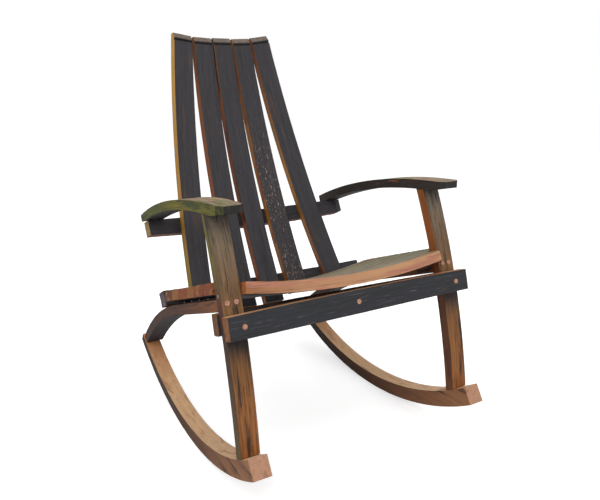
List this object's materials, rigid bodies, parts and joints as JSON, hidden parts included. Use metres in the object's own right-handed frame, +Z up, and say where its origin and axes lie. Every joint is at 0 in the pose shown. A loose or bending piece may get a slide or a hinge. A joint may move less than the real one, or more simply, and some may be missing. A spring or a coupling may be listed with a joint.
{
  "type": "rocking adirondack chair",
  "caption": "Rocking adirondack chair of curved barrel staves: fanned back slats, hollowed slatted seat, arched arms and two sawn rockers.",
  "frame": {"origin": "middle of the bounding box's footprint, on the floor the rockers stand on", "axes": "+Z up, +Y to the back of the chair, +X to the sitter's left"},
  "size_m": [0.6202, 0.8074, 0.9774],
  "materials": {
    "new_oak": "planed pale oak",
    "weathered_oak": "weathered stave face",
    "charred_oak": "charred inner stave face",
    "plug_wood": "sanded",
    "screw_steel": "zinc plated"
  },
  "bodies": {
    "root": {"left_rocker": "new_oak", "left_front_leg": "weathered_oak", "left_side_rail": "charred_oak", "left_arm": "weathered_oak", "right_rocker": "new_oak", "right_front_leg": "weathered_oak", "right_side_rail": "charred_oak", "right_arm": "weathered_oak", "back_slat_1": "charred_oak", "back_slat_2": "charred_oak", "back_slat_3": "charred_oak", "back_slat_4": "charred_oak", "back_slat_5": "charred_oak", "seat_slat_1": "weathered_oak", "seat_slat_2": "weathered_oak", "seat_slat_3": "weathered_oak", "seat_slat_4": "weathered_oak", "seat_slat_5": "weathered_oak", "seat_slat_6": "weathered_oak", "seat_slat_7": "weathered_oak", "arm_rail": "charred_oak", "lower_back_rail": "charred_oak", "front_stretcher": "charred_oak", "leg_rail": "charred_oak", "stretcher_plugs": "plug_wood", "leg_plugs": "plug_wood", "arm_plugs": "plug_wood", "stretcher_screws": "screw_steel", "leg_screws": "screw_steel", "arm_screws": "screw_steel", "back_screws": "screw_steel", "side_rail_screws": "screw_steel", "rocker_screws": "screw_steel", "front_slat_screws": "screw_steel"}
  },
  "joints": []
}
